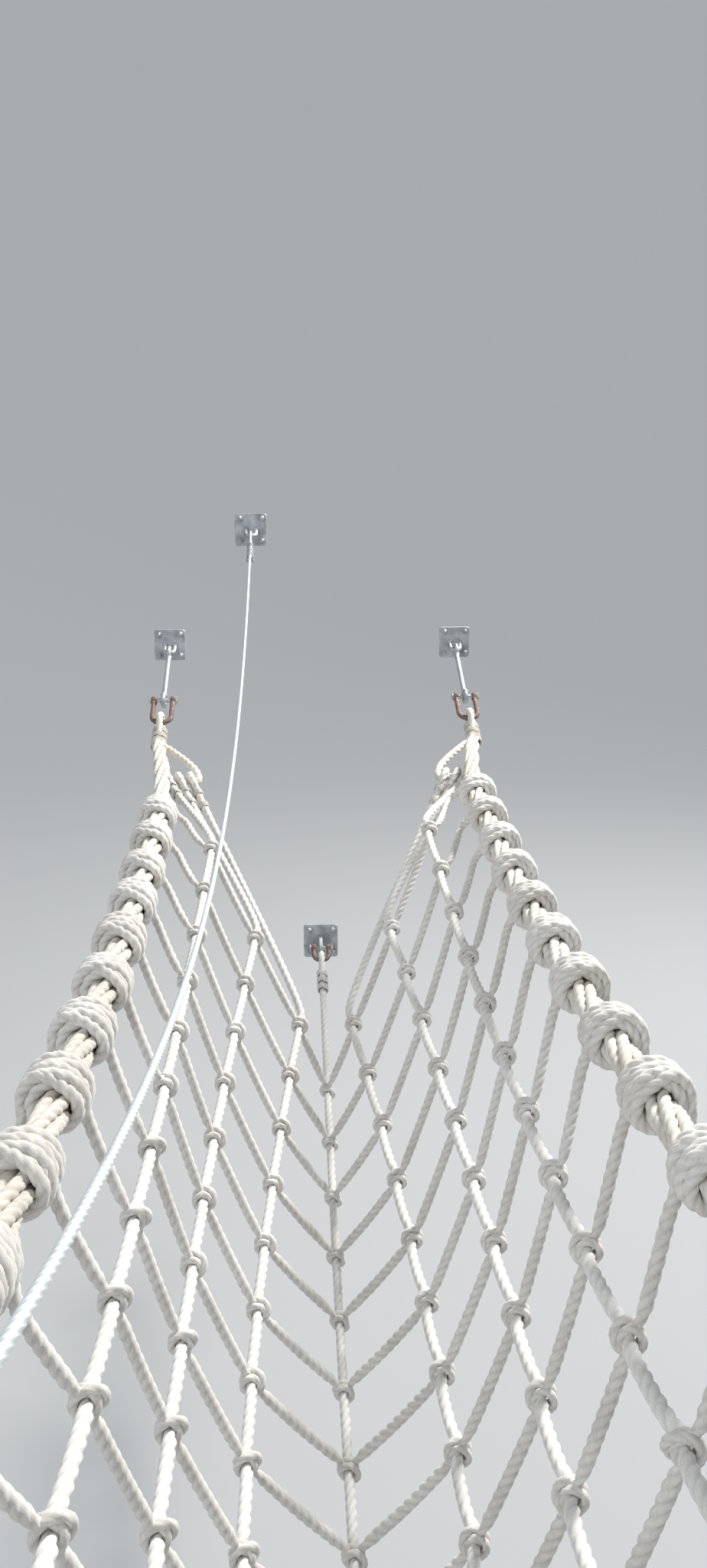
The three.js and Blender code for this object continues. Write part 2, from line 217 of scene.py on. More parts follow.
def smooth_route(controls, step):
    """A centripetal spline through the control points, in equal steps of about the given length."""
    p = np.asarray(controls, float)
    p = np.vstack([2 * p[0] - p[1], p, 2 * p[-1] - p[-2]])
    knots = np.concatenate([[0], np.cumsum(np.sqrt(np.linalg.norm(np.diff(p, axis=0), axis=1)))])
    samples = []
    for i in range(1, len(p) - 2):
        t0, t1, t2, t3 = knots[i - 1:i + 3]
        count = max(3, math.ceil(np.linalg.norm(p[i + 1] - p[i]) / (0.5 * step)))
        t = np.linspace(t1, t2, count, endpoint=False)[:, None]
        a = ((t1 - t) * p[i - 1] + (t - t0) * p[i]) / (t1 - t0)
        b = ((t2 - t) * p[i] + (t - t1) * p[i + 1]) / (t2 - t1)
        c = ((t3 - t) * p[i + 1] + (t - t2) * p[i + 2]) / (t3 - t2)
        d = ((t2 - t) * a + (t - t0) * b) / (t2 - t0)
        e = ((t3 - t) * b + (t - t1) * c) / (t3 - t1)
        samples.append(((t2 - t) * d + (t - t1) * e) / (t2 - t1))
    samples = np.vstack([*samples, p[-2:-1]])
    along = np.concatenate([[0], np.cumsum(np.linalg.norm(np.diff(samples, axis=0), axis=1))])
    even = np.linspace(0, along[-1], max(2, round(along[-1] / step) + 1))
    return np.column_stack([np.interp(even, along, samples[:, i]) for i in range(3)]), even


def frames_along(route):
    """Two directions square to the route at each of its points, carried along without twisting."""
    tangents = np.gradient(route, axis=0)
    tangents /= np.linalg.norm(tangents, axis=1)[:, None]
    start = UP if abs(tangents[0][0]) > NEARLY_PARALLEL else RIGHT
    normals = np.empty_like(route)
    normal = square_to(start, tangents[0])
    for i, tangent in enumerate(tangents):
        normal = normal - np.dot(normal, tangent) * tangent
        normal /= math.sqrt(np.dot(normal, normal))
        normals[i] = normal
    return normals, np.cross(tangents, normals)


def strand_outline(strands, corners, offset):
    """Angles and radii of the outline of a laid rope of radius 1, with a groove between strands."""
    spread = math.pi / strands
    across = np.linspace(-spread, spread, corners, endpoint=False)
    radius = offset * np.cos(across) + np.sqrt((1 - offset) ** 2 - (offset * np.sin(across)) ** 2)
    centres = 2 * spread * np.arange(strands)
    return (centres[:, None] + across).ravel(), np.tile(radius, strands)


ROPE_OUTLINE = strand_outline(3, 4, 0.32)
THICK_OUTLINE = strand_outline(3, 5, 0.33)
WIRE_OUTLINE = strand_outline(6, 3, 0.58)
ROUND_OUTLINE = (np.arange(12) * math.pi / 6, np.ones(12))
CORD_OUTLINE = (np.arange(8) * math.pi / 4, np.ones(8))


def sweep(piece, controls, radius, outline, lay=None, steps=11, look=0, capped=True, phase=0.0,
          squeeze=None):
    """Adds a rope along the control points; its strands make one turn in each length of lay."""
    turns, radii = outline
    step = lay / steps if lay else max(PLAIN_STEP, 0.5 * radius)
    route, along = smooth_route(controls, step)
    normals, binormals = frames_along(route)
    twist = phase + (2 * math.pi * along / lay if lay else np.zeros(len(along)))
    angle = turns[None, :] + twist[:, None]
    x, y = radius * radii * np.cos(angle), radius * radii * np.sin(angle)
    share = (squeeze(route) if squeeze else np.ones(len(route)))[:, None, None]
    spokes = x[..., None] * normals[:, None] + y[..., None] * binormals[:, None]
    points = route[:, None] + share * spokes
    places = np.stack([x, y, np.broadcast_to(along[:, None], x.shape)], axis=-1)
    rows, columns = x.shape
    piece.add(points.reshape(-1, 3), grid_faces(rows, columns), look, True, places.reshape(-1, 3))
    for row in (0, rows - 1) if capped else ():
        cap = np.vstack([points[row], route[row]])
        fan = [[(j + 1) % columns, j, columns] if row == 0 else [j, (j + 1) % columns, columns]
               for j in range(columns)]
        piece.add(cap, fan, look, False, np.vstack([places[row], [0, 0, along[row]]]))


# The net


def line_point(line, side, y):
    """The point of a line of the net at the given distance from the middle of the span."""
    k = y / line["pitch"]
    return vec(side * (line["x0"] + line["dx"] * k * k), y, line["z0"] + line["dz"] * k * k) + NET


def crossing(line, side, k):
    """Where rib k meets a line of the net."""
    return line_point(line, side, line["pitch"] * k + side * line["skew"])


def tangent(line, side, k):
    y = line["pitch"] * k + side * line["skew"]
    return unit(line_point(line, side, y + 1e-3) - line_point(line, side, y - 1e-3))


def pull(end, slope):
    """The direction in which an end is held."""
    return vec(0, end * math.cos(math.radians(slope)), math.sin(math.radians(slope)))


def eye_point(eye, side, end):
    return vec(side * eye["x"], end * eye["y"], eye["z"]) + NET


def ring_centre(eye, loop, side, end):
    """The middle of a rope eye, whose inside bears on the steel at the eye point."""
    inside = loop["hole"] * math.cos(math.pi / loop["corners"])
    return eye_point(eye, side, end) - inside * pull(end, eye["slope"])


def sling_band(side, end):
    """The places that a sling passes, and the middles of its three hitches."""
    def at(dx, dy, dz):
        return vec(side * (SLING["x"] + dx), end * (SLING["y"] + dy), SLING["z"] + dz) + NET

    return {
        "outer_bend": at(SLING["flare"], SLING["back"], SLING["rise"]),
        "outer": at(SLING["half"], 0, 0),
        "inner": at(-SLING["half"], 0, 0),
        "inner_bend": at(-SLING["flare"], SLING["back"], SLING["rise"]),
        "hitches": [at((1 - row) * SLING_PITCH, 0, 0) for row in range(3)],
    }


# A hitch pulls its rope out of line: how much the rope leans in it, on the left and the right, how
# far inwards it lies between hitches, and how far from a hitch's middle it bends and has settled
LEAN = {-1: -0.10, 1: 0.15}
INSET = {-1: 0.003, 1: 0.013}
BEND_REACH = 0.026
SETTLED_REACH = 2.3 * BEND_REACH


def hitch_axis(line, side, k, lean):
    """The direction of a rope inside its hitch."""
    along = tangent(line, side, k)
    return unit(along + lean * square_to(vec(1, 0, 0.4), along))


# A clove hitch, point by point: the angle round the post from the front towards the leaving side,
# the place along the post, and how far the rope is lifted off it, both in radii of the tied rope
CLOVE_HITCH = [
    (-60, 0.75, 0.1), (-15, 0.75, 0), (30, 0.75, 0), (75, 0.8, 0), (120, 0.85, 0),
    (165, 0.9, 0), (210, 1, 0), (255, 1.3, 0.1), (295, 1.25, 0.6), (330, 0.75, 1.1),
    (360, 0, 1.3), (390, -0.75, 1.1), (425, -1.25, 0.6), (465, -1.3, 0.1), (510, -1, 0),
    (555, -0.9, 0), (600, -0.85, 0), (645, -0.8, 0), (690, -0.75, 0), (735, -0.75, 0),
    (775, -0.85, 0.2),
]

# Inside a hitch both ropes are pressed: the share of its thickness that each keeps, and how far
# from the middle the pressing starts to ease and has ended
RIB_SQUEEZE = (0.66, 0.031, 0.056)
POST_SQUEEZE = (0.78, 0.014, 0.032)
TIED_R = RIB_SQUEEZE[0] * RIB_R

# How far from a hitch the rib leaves its straight line, and how unevenly hitches are tied
HITCH_LEAD = 0.022
HITCH_SWAY = 8
HITCH_SLIDE = 0.3


def pressed(places, squeeze):
    """How much of its thickness a rope keeps at each point of its route near the given places."""
    share, full, none = squeeze

    def shares(route):
        distance = np.linalg.norm(route[:, None] - places, axis=2).min(axis=1)
        return np.interp(distance, [full, none], [share, 1.0])

    return shares


def clove_hitch(centre, axis, front, before, after, post):
    """Control points of a rib's clove hitch round another rope, on its way between two places."""
    tight = POST_SQUEEZE[0] * post + 0.9 * TIED_R
    across = square_to(after - before, axis)
    lead = math.copysign(1, np.dot(before - after, axis))
    sway = rng.uniform(-HITCH_SWAY, HITCH_SWAY)
    slide = rng.uniform(-HITCH_SLIDE, HITCH_SLIDE)
    arrive, leave = unit(before - centre), unit(after - centre)
    close = tight + 0.4 * RIB_R
    points = [centre + (tight + HITCH_LEAD) * arrive, centre + close * arrive + 0.1 * tight * front]
    for angle, place, lift in CLOVE_HITCH:
        turn = math.radians(angle + sway)
        reach = tight + lift * TIED_R
        points.append(centre + lead * (place + slide) * TIED_R * axis
                      + reach * (math.cos(turn) * front + math.sin(turn) * across))
    points += [centre + close * leave + 0.1 * tight * front, centre + (tight + HITCH_LEAD) * leave]
    return points


# Windings round the handrails: turns against the rail on the left and the right, then turns that
# ride on them, piled up mostly on the upper outer side. Angles are in degrees from the net's side.
WINDING_TURNS = {-1: 5, 1: 4}
WINDING_PITCH = 0.0200
WINDING_LEAD = [(0.055, 0.006), (0.018, 0.012)]
WINDING_START = 315
WINDING_STEP = 45
RIDING_TURNS = 4
RIDING_REACH = 0.62
RIDING_TOP = 135
WOBBLE = 0.007
WINDING_SHARE = 0.84
TAIL = 0.026


def winding(side, centre, axis, down, outward):
    """Control points of a rib's end wound round a handrail, from the net to its free tail."""
    wound = WINDING_SHARE * RIB_R
    first = RAIL_R + 0.85 * wound
    half = WINDING_TURNS[side] * WINDING_PITCH / 2
    slide = rng.uniform(-0.006, 0.006)
    lean = rng.uniform(-0.10, 0.10)
    mess = rng.uniform(0, 360)

    def at(angle, place, reach):
        turn = math.radians(angle)
        spoke = math.cos(turn) * down + math.sin(turn) * outward
        skew = lean * reach * math.cos(turn - math.radians(mess))
        return centre + (place + slide + skew) * axis + reach * spoke

    points = [at(0, half, first + out) - inside * outward for out, inside in WINDING_LEAD]
    lower = WINDING_START - WINDING_STEP - 360 * WINDING_TURNS[side]
    for angle in range(WINDING_START, lower - 1, -WINDING_STEP):
        points.append(at(angle, half - (WINDING_START - angle) / 360 * WINDING_PITCH, first))
    riding = lower - 2 * WINDING_STEP
    stop = riding - 360 * RIDING_TURNS - 60
    for angle in range(riding, stop - 1, -WINDING_STEP):
        share = (riding - angle) / (riding - stop)
        piled = 1.2 + 0.7 * math.cos(math.radians(angle - RIDING_TOP))
        wobble = WOBBLE * math.sin(math.radians(1.3 * angle + mess))
        back_and_forth = -math.cos(2 * math.pi * share)
        points.append(at(angle, RIDING_REACH * half * back_and_forth + wobble, first + piled * wound))
    place = -RIDING_REACH * half + rng.uniform(-0.006, 0.004)
    tail = TAIL + rng.uniform(-0.006, 0.008)
    turned = rng.uniform(-12, 12)
    moved = rng.uniform(-0.008, 0.008)
    points.append(at(stop - 24, place, first + 2.0 * wound))
    points.append(at(stop - 44, place, first + 3.2 * wound))
    points.append(at(stop - 50 + turned, place + moved, first + 2.2 * wound + tail))
    return points


def half_rib(side, k):
    """Control points of a rib from its tail at a handrail to just before the foot rope."""
    centres = [crossing(LINES[name], side, k) for name in ("rail", *ROWS, "foot")]
    axis = hitch_axis(LINES["rail"], side, k, 0.0)
    down = square_to(centres[1] - centres[0], axis)
    outward = np.cross(axis, down)
    outward *= math.copysign(1, outward[0] * side)
    points = winding(side, centres[0], axis, down, outward)[::-1]
    for name, before, centre, after in zip(ROWS, centres, centres[1:], centres[2:]):
        axis = hitch_axis(LINES[name], side, k, LEAN[side])
        front = np.cross(square_to(after - before, axis), axis)
        front *= math.copysign(1, np.dot(front, vec(-side, 0, 1)))
        points += clove_hitch(centre, axis, front, before, after, SIDE_R)
    return points


LONG_STRETCH = 0.12
SAG = 0.0055


def sagged(points):
    """Adds a point in the middle of each long free stretch, hung a little below it."""
    result = [points[0]]
    for a, b in zip(points, points[1:]):
        if np.linalg.norm(b - a) > LONG_STRETCH:
            result.append((a + b) / 2 - SAG * UP)
        result.append(b)
    return result


def rib_route(k):
    """Control points of a rib from tail to tail."""
    left = half_rib(-1, k)
    right = half_rib(1, k)
    centre = crossing(LINES["foot"], 1, k)
    axis = tangent(LINES["foot"], 1, k)
    before, after = (crossing(LINES["lower"], side, k) for side in (-1, 1))
    keel = clove_hitch(centre, axis, square_to(-UP, axis), before, after, FOOT_R)
    return sagged([*left, *keel, *right[::-1]])


def bent_route(line, side, lean, inset):
    """Control points of a rope through all ribs, leaning inside each hitch and inset between them."""
    points = []
    for k in RIBS:
        centre, along = crossing(line, side, k), tangent(line, side, k)
        axis = hitch_axis(line, side, k, lean)
        inward = inset * square_to(vec(-2 * side, 0, 1), along)
        shift = BEND_REACH * (axis - np.dot(axis, along) * along)
        for end in (-1, 1):
            bend = centre + end * BEND_REACH * axis + 0.5 * inward
            settled = centre + end * (SETTLED_REACH * along + 0.6 * shift) + inward
            points += [settled, bend] if end < 0 else [bend, settled]
    return points


def hitch_places(row, side):
    """The middles of all hitches on a line of the net."""
    return np.array([crossing(LINES[row], side, k) for k in RIBS])


# A binding's cord is pressed into the rope, and a rope's end thins where it is tucked into another
WHIPPING_BITE = 0.8
WHIPPING_PITCH = 1.9 * WHIPPING_R
TUCKED_SHARE = 0.3
EYE_LEG_STEPS = (0.25, 0.6, 1.0)
EYE_LEG_SPREAD = 0.55


def whipping(piece, centre, axis, inner, count, over=UP, stretch=0.0):
    """Adds a tight binding of thin cord round a rope, or stretched over two that lie together."""
    start = square_to(over, axis)
    side = np.cross(axis, start)
    radius = inner + WHIPPING_BITE * WHIPPING_R
    coil = []
    for angle in range(0, 360 * count + 1, 45):
        turn = math.radians(angle)
        spoke = (1 + stretch) * math.cos(turn) * start + math.sin(turn) * side
        coil.append(centre + axis * WHIPPING_PITCH * (angle / 360 - count / 2) + radius * spoke)
    sweep(piece, coil, WHIPPING_R, CORD_OUTLINE)


def eye_route(centre, along, radius, neck):
    """Control points of a rope eye in the plane of Y and Z, from its neck round and back."""
    side = np.cross(RIGHT, along)
    bend = arc(centre, radius, along, side, range(-120, 121, 30))

    def leg(hand):
        spread = hand * EYE_LEG_SPREAD * radius * side
        return [centre - (radius + neck * share) * along + (1 - share) * spread for share in EYE_LEG_STEPS]

    return [*leg(-1)[::-1], *bend, *leg(1)]


def tucked(route, length):
    """How much of its thickness a rope keeps where its ends are tucked into another."""
    return pressed(np.array([route[0], route[-1]]), (TUCKED_SHARE, 0.0, length))


def rail_taper(side):
    """How thick a handrail is at each point of its route, as a share of its full thickness."""
    line = LINES["rail"]
    reach = line["pitch"] * LAST_RIB + RAIL_FULL
    thick = [NET[1] + end * reach + side * line["skew"] for end in (-1, 1)]
    eyes = [eye_point(RAIL_EYE, side, end)[1] for end in (-1, 1)]
    share = RAIL_END_R / RAIL_R

    def shares(route):
        return np.interp(route[:, 1], [eyes[0], *thick, eyes[1]], [share, 1.0, 1.0, share])

    return shares


# How a handrail ends, as distances from its last rib and from the neck of its eye
RAIL_FULL = 0.09
RAIL_STRAIGHT = 0.094
RAIL_STUB = 0.018
RAIL_NECK = 0.060
RAIL_EYE_TUCK = {"legs": 0.12, "length": 0.08}
RAIL_WHIPPINGS = (0.008, 0.042)
SLING_START = 0.085
SLING_TUCK = 0.035


def handrail(name, side):
    """Laid ropes twisted together, with a bound eye and a sling at each end."""
    piece = Piece(name, "ropes")
    line = LINES["rail"]
    core = [crossing(line, side, k) for k in RIBS]
    for end in (-1, 1):
        centre = ring_centre(RAIL_EYE, RAIL_LOOP, side, end)
        along = pull(end, RAIL_EYE["slope"])
        reach = RAIL_LOOP["hole"] + RAIL_LOOP["tube"]
        neck = centre - reach * along
        last = end * LAST_RIB
        straight = crossing(line, side, last) + end * RAIL_STRAIGHT * tangent(line, side, last)
        ends = [straight, 0.5 * (neck + straight), neck - RAIL_NECK * along, neck + RAIL_STUB * along]
        core = lengthened(core, ends, end)
        eye = eye_route(centre, along, reach, RAIL_EYE_TUCK["legs"])
        eye_tuck = tucked(eye, RAIL_EYE_TUCK["length"])
        sweep(piece, eye, RAIL_LOOP["tube"] * 0.92, THICK_OUTLINE, EYE_LAY, squeeze=eye_tuck)
        for gap in RAIL_WHIPPINGS:
            whipping(piece, neck - gap * along, along, RAIL_END_R + 0.001, 5)
        band = sling_band(side, end)
        start = neck - SLING_START * along
        bight = [start + SLING_TUCK * along, start, band["outer_bend"], band["outer"], *band["hitches"]]
        bight += [band["inner"], band["inner_bend"], start, start - SLING_TUCK * along]
        bight_tuck = tucked(bight, SLING_TUCK + 0.001)
        sweep(piece, bight, SLING_R, THICK_OUTLINE, SLING_LAY, squeeze=bight_tuck)
        whipping(piece, start, along, RAIL_END_R + 0.0015, 8)
    taper = rail_taper(side)
    route, along = smooth_route(core, 0.02)
    normals, binormals = frames_along(route)
    for rope in range(RAIL_ROPES):
        angle = 2 * math.pi * (along / RAIL_TURN + rope / RAIL_ROPES)
        spokes = np.cos(angle)[:, None] * normals + np.sin(angle)[:, None] * binormals
        controls = (route + taper(route)[:, None] * (RAIL_R - RAIL_ROPE_R) * spokes)[::2]
        sweep(piece, controls, RAIL_ROPE_R, ROPE_OUTLINE, RAIL_LAY, steps=10, phase=rope, squeeze=taper)
    return piece


# A side rope's loop round the sling's band. Each point lies so far ahead, in metres or, round the
# band, in the loop's reach, and so far over the band, in that reach. The tail comes back under the
# rope and is bound to it: how far from the band, how far under the rope, how much higher than wide.
LOOP_START = [(-0.075, 0.2), (-0.02, 0.97)]
LOOP_ROUND = [(0.7, 0.7), (1.0, 0.0), (0.7, -0.7)]
LOOP_TAIL = [(-0.01, -1.0), (-0.05, -0.75), (-0.10, -0.62), (-0.16, -0.6)]
LOOP_BINDINGS = [(0.062, 0.19, 0.72), (0.12, 0.30, 0.41)]


def side_rope(name, side, row):
    """A side rope: through its ribs, and round the sling's band at each end."""
    piece = Piece(name, "laid")
    points = bent_route(LINES[ROWS[row]], side, LEAN[side], INSET[side])
    reach = SLING_R + 0.9 * SIDE_R
    for end in (-1, 1):
        hold = sling_band(side, end)["hitches"][row]
        towards = unit(hold - (points[0] if end < 0 else points[-1]))
        over = reach * unit(np.cross(square_to(RIGHT, towards), towards))
        over *= math.copysign(1, over[2])
        loop = [hold + ahead * towards + high * over for ahead, high in LOOP_START]
        loop += [hold + ahead * reach * towards + high * over for ahead, high in LOOP_ROUND]
        loop += [hold + ahead * towards + high * over for ahead, high in LOOP_TAIL]
        points = lengthened(points, loop, end)
        for gap, drop, stretch in LOOP_BINDINGS:
            whipping(piece, hold - gap * towards - drop * over, towards, 1.1 * SIDE_R, 4, over, stretch)
    hitches = pressed(hitch_places(ROWS[row], side), POST_SQUEEZE)
    sweep(piece, points, SIDE_R, THICK_OUTLINE, SIDE_LAY, squeeze=hitches)
    return piece


# The foot rope's eye: how far its neck lies from the loop, how long the loop's legs are, and where
# its bindings lie
FOOT_NECK = 0.03
FOOT_EYE_LEGS = 0.09
FOOT_WHIPPINGS = (0.01, 0.05, 0.09)


def foot_rope(name):
    """The rope that is walked on, with a bound eye at each end."""
    piece = Piece(name, "laid")
    points = bent_route(LINES["foot"], 1, 0.0, 0.0)
    for end in (-1, 1):
        centre = ring_centre(FOOT_EYE, FOOT_LOOP, 1, end)
        along = pull(end, FOOT_EYE["slope"])
        reach = FOOT_LOOP["hole"] + FOOT_LOOP["tube"]
        neck = centre - along * (reach + FOOT_NECK)
        points = lengthened(points, [neck], end)
        eye = eye_route(centre, along, reach, FOOT_EYE_LEGS)
        sweep(piece, eye, FOOT_LOOP["tube"] * 0.95, THICK_OUTLINE, FOOT_EYE_LAY)
        down_rope = unit(crossing(LINES["foot"], 1, end * LAST_RIB) - neck)
        for gap in FOOT_WHIPPINGS:
            whipping(piece, neck + gap * down_rope, -down_rope, FOOT_R * 1.32, 5)
    hitches = pressed(hitch_places("foot", 1), POST_SQUEEZE)
    sweep(piece, points, FOOT_R, THICK_OUTLINE, FOOT_LAY, squeeze=hitches)
    return piece


def rib(name, k):
    """A rope from handrail to handrail, tied at every crossing."""
    piece = Piece(name, "tied")
    places = [crossing(LINES[row], side, k) for row in ROWS for side in (-1, 1)]
    hitches = pressed(np.array([*places, crossing(LINES["foot"], 1, k)]), RIB_SQUEEZE)
    sweep(piece, rib_route(k), RIB_R, ROPE_OUTLINE, RIB_LAY, steps=9, phase=k, squeeze=hitches)
    return piece


# Steel


def lathe(piece, profile, place, axis, sides=20, look=0, smooth=False):
    """Adds a turned part: profile is a list of (distance along the axis, radius)."""
    first = square_to(UP if abs(axis[2]) < NEARLY_PARALLEL else RIGHT, axis)
    second = np.cross(axis, first)
    angles = 2 * math.pi * np.arange(sides) / sides
    around = np.cos(angles)[:, None] * first + np.sin(angles)[:, None] * second
    points = np.vstack([place + along * axis + radius * around for along, radius in profile])
    faces = [face[::-1] for face in grid_faces(len(profile), sides)]
    piece.add(points, faces, look, smooth)
    for row, turn in ((0, 1), (len(profile) - 1, -1)):
        piece.add(points[row * sides:(row + 1) * sides], [list(range(sides))[::turn]], look, False)


def cylinder(piece, start, axis, length, radius, chamfer=0.001, sides=20, look=0):
    """Adds a round bar with chamfered ends."""
    inset = radius - chamfer
    profile = [(0, inset), (chamfer, radius), (length - chamfer, radius), (length, inset)]
    lathe(piece, profile, start, axis, sides, look)


def slab(piece, outline, thickness, chamfer):
    """Adds a plate in the plane of X and Z with its back at Y = thickness; the outline is convex."""
    outline = np.asarray(outline, float)
    ahead = np.roll(outline, -1, axis=0) - outline
    ahead /= np.linalg.norm(ahead, axis=1)[:, None]
    behind = np.roll(ahead, 1, axis=0)
    inward = np.column_stack([-(ahead + behind)[:, 1], (ahead + behind)[:, 0]])
    inward /= np.linalg.norm(inward, axis=1)[:, None]
    cosine = np.sqrt((1 + (ahead * behind).sum(1)) / 2)
    inset = outline + inward * (chamfer / cosine)[:, None]
    rows = [(inset, 0), (outline, chamfer), (outline, thickness - chamfer), (inset, thickness)]
    count = len(outline)
    points = np.vstack([np.column_stack([row[:, 0], np.full(count, y), row[:, 1]]) for row, y in rows])
    faces = grid_faces(len(rows), count)
    faces += [list(range(count))[::-1], list(range(3 * count, 4 * count))]
    piece.add(points, faces, smooth=False)


def rounded_square(half, corner, steps=5):
    """The outline of a square with round corners."""
    points = []
    for quarter in range(4):
        middle = math.radians(45 + 90 * quarter)
        x = math.copysign(half - corner, math.cos(middle))
        z = math.copysign(half - corner, math.sin(middle))
        for angle in np.radians(np.linspace(90 * quarter, 90 * quarter + 90, steps)):
            points.append((x + corner * math.cos(angle), z + corner * math.sin(angle)))
    return points


# The plates' corners and their four bolts, from the plate outwards
PLATE_CORNER = 0.012
PLATE_CHAMFER = 0.0015
BOLT_PLACE = 0.048
WASHER = {"thick": 0.0025, "radius": 0.0135}
NUT_PROFILE = [(0, 0.0108), (0.001, 0.0112), (0.0085, 0.0112), (0.0098, 0.0100)]
BOLT = {"length": 0.017, "radius": 0.006}


def bolted_plate(piece):
    """A plate on four anchor bolts, its front towards the bridge at Y = -PLATE_THICK / 2."""
    first = len(piece.points)
    slab(piece, rounded_square(PLATE / 2, PLATE_CORNER), PLATE_THICK, PLATE_CHAMFER)
    piece.moved(np.array(Matrix.Translation((0, -PLATE_THICK / 2, 0))), first)
    for x in (-BOLT_PLACE, BOLT_PLACE):
        for z in (-BOLT_PLACE, BOLT_PLACE):
            place = vec(x, -PLATE_THICK / 2, z)
            nut = place - WASHER["thick"] * AHEAD
            cylinder(piece, place, -AHEAD, WASHER["thick"], WASHER["radius"], 0.0006, 24, look=1)
            lathe(piece, NUT_PROFILE, nut, -AHEAD, 6, look=1)
            cylinder(piece, nut, -AHEAD, BOLT["length"], BOLT["radius"], 0.001, 14, look=1)


def bow_at(size):
    """Where the bar of a bow lies that bears on the rope from behind, along the pull."""
    return -size["tube"] * math.cos(math.pi / 6) - BEAR


def pin_at(size):
    """Where the pin or the end of the legs lies, along the pull."""
    return bow_at(size) + size["bow"] + size["leg"]


def bow_route(size, stop):
    """Control points of a bow and its two legs."""
    middle = bow_at(size) + size["bow"]
    bend = arc(middle * AHEAD, size["bow"], -AHEAD, RIGHT, range(-90, 91, 15))
    straight = [vec(-size["bow"], y, 0) for y in np.linspace(stop, middle, 4)[:-1]]
    return [*straight, *bend, *[vec(-p[0], p[1], 0) for p in straight[::-1]]]


# A shackle's eyes, as shares of their width and radius, and its bolt: head, nut and split pin
SHACKLE_EYE = [(0, 0.75), (0.1, 0.95), (0.3, 1.0), (0.7, 1.0), (0.9, 0.95), (1.0, 0.75)]
SHACKLE_EYE_WALL = 0.008
PIN_HEAD = [(0, 0.012), (0.0015, 0.0145), (0.007, 0.0145), (0.009, 0.0125)]
PIN_NUT = [(0, 0.0165), (0.001, 0.0172), (0.0075, 0.0172), (0.0085, 0.0158)]
PIN_PAST = {"head": 0.002, "nut": 0.009}
SPLIT_PIN = {"place": 0.0095, "radius": 0.0013, "low": -0.014, "high": 0.016}


def shackle(name, size):
    """A bow shackle with a bolt, its nut and a split pin. +Y is the pull."""
    piece = Piece(name, "forged")
    tube, stop = size["tube"], pin_at(size)
    sweep(piece, bow_route(size, stop - tube), 0.98 * tube, ROUND_OUTLINE)
    eye = [(2 * tube * along, (tube + SHACKLE_EYE_WALL) * radius) for along, radius in SHACKLE_EYE]
    for side in (-1, 1):
        inside = vec(side * (size["bow"] - tube), stop, 0)
        lathe(piece, eye, inside, side * RIGHT, 24, smooth=True)
        neck = [vec(side * size["bow"], stop - share * tube, 0) for share in (2.2, 1.2, 0.4)]
        sweep(piece, neck, 1.06 * tube, ROUND_OUTLINE)
    reach = size["bow"] + tube
    start = vec(-reach - PIN_PAST["head"], stop, 0)
    length = 2 * reach + PIN_PAST["head"] + PIN_PAST["nut"]
    cylinder(piece, start, RIGHT, length, 0.86 * tube, look=1)
    lathe(piece, PIN_HEAD, vec(-reach, stop, 0), -RIGHT, 24, look=1)
    lathe(piece, PIN_NUT, vec(reach, stop, 0), RIGHT, 6, look=1)
    split = [vec(reach + SPLIT_PIN["place"], stop, z) for z in (SPLIT_PIN["low"], 0, SPLIT_PIN["high"])]
    sweep(piece, split, SPLIT_PIN["radius"], ROUND_OUTLINE, look=1)
    return piece


# Along the pull: the middles of a rod's rings, and where its far ring bears on the staple
ROD_INSIDE = ROD["hole"] * math.cos(math.pi / 8)
ROD_START = pin_at(RAIL_SHACKLE) - RAIL_SHACKLE["tube"] - BEAR + ROD_INSIDE
ROD_STOP = ROD_START + ROD["length"]
ROD_BEARING = ROD_STOP + ROD_INSIDE
ROD_WELD = [(0, 0.0120), (0.004, 0.0135), (0.010, 0.0125), (0.016, 0.0105)]


def ring(piece, centre, hole, tube):
    """Adds a ring of round bar in the plane of Y and Z."""
    route = arc(centre, hole + tube, UP, AHEAD, range(0, 361, 15))
    sweep(piece, route, tube, ROUND_OUTLINE, capped=False)


def anchor_rod(name):
    """A rod with a welded ring at each end."""
    piece = Piece(name, "welded")
    gap = ROD["hole"] + ROD["tube"]
    for y, turn in ((ROD_START, 1), (ROD_STOP, -1)):
        ring(piece, y * AHEAD, ROD["hole"], ROD["tube"])
        lathe(piece, ROD_WELD, (y + turn * gap) * AHEAD, turn * AHEAD, 18, smooth=True)
    length = ROD_STOP - ROD_START - 2 * gap
    cylinder(piece, (ROD_START + gap) * AHEAD, AHEAD, length, ROD["shank"], 0.0005)
    return piece


STAPLE_WELD = [(-0.006, 0.0095), (-0.003, 0.0125), (0.0, 0.0145), (0.006, 0.0145)]


def tilted(slope):
    """The turn of a part that leans with the pull."""
    return np.array(Matrix.Rotation(math.radians(slope), 4, "X"))


def plated(piece, slope, stop):
    """Tilts a piece with the pull, and adds its bolted plate upright where the piece stops."""
    piece.moved(tilted(slope))
    first = len(piece.points)
    bolted_plate(piece)
    place = tilted(slope)[:3, :3] @ (stop * AHEAD)
    return piece.moved(np.array(Matrix.Translation(place)), first)


def staple_plate(name, slope):
    """A bolted plate with a welded staple that leans with the pull."""
    piece = Piece(name, "bolted")
    stop = pin_at(STAPLE)
    sweep(piece, bow_route(STAPLE, stop), STAPLE["tube"], ROUND_OUTLINE)
    front = PLATE_THICK / 2 / math.cos(math.radians(slope))
    for side in (-1, 1):
        lathe(piece, STAPLE_WELD, vec(side * STAPLE["bow"], stop - front, 0), AHEAD, 16, smooth=True)
    return plated(piece, slope, stop)


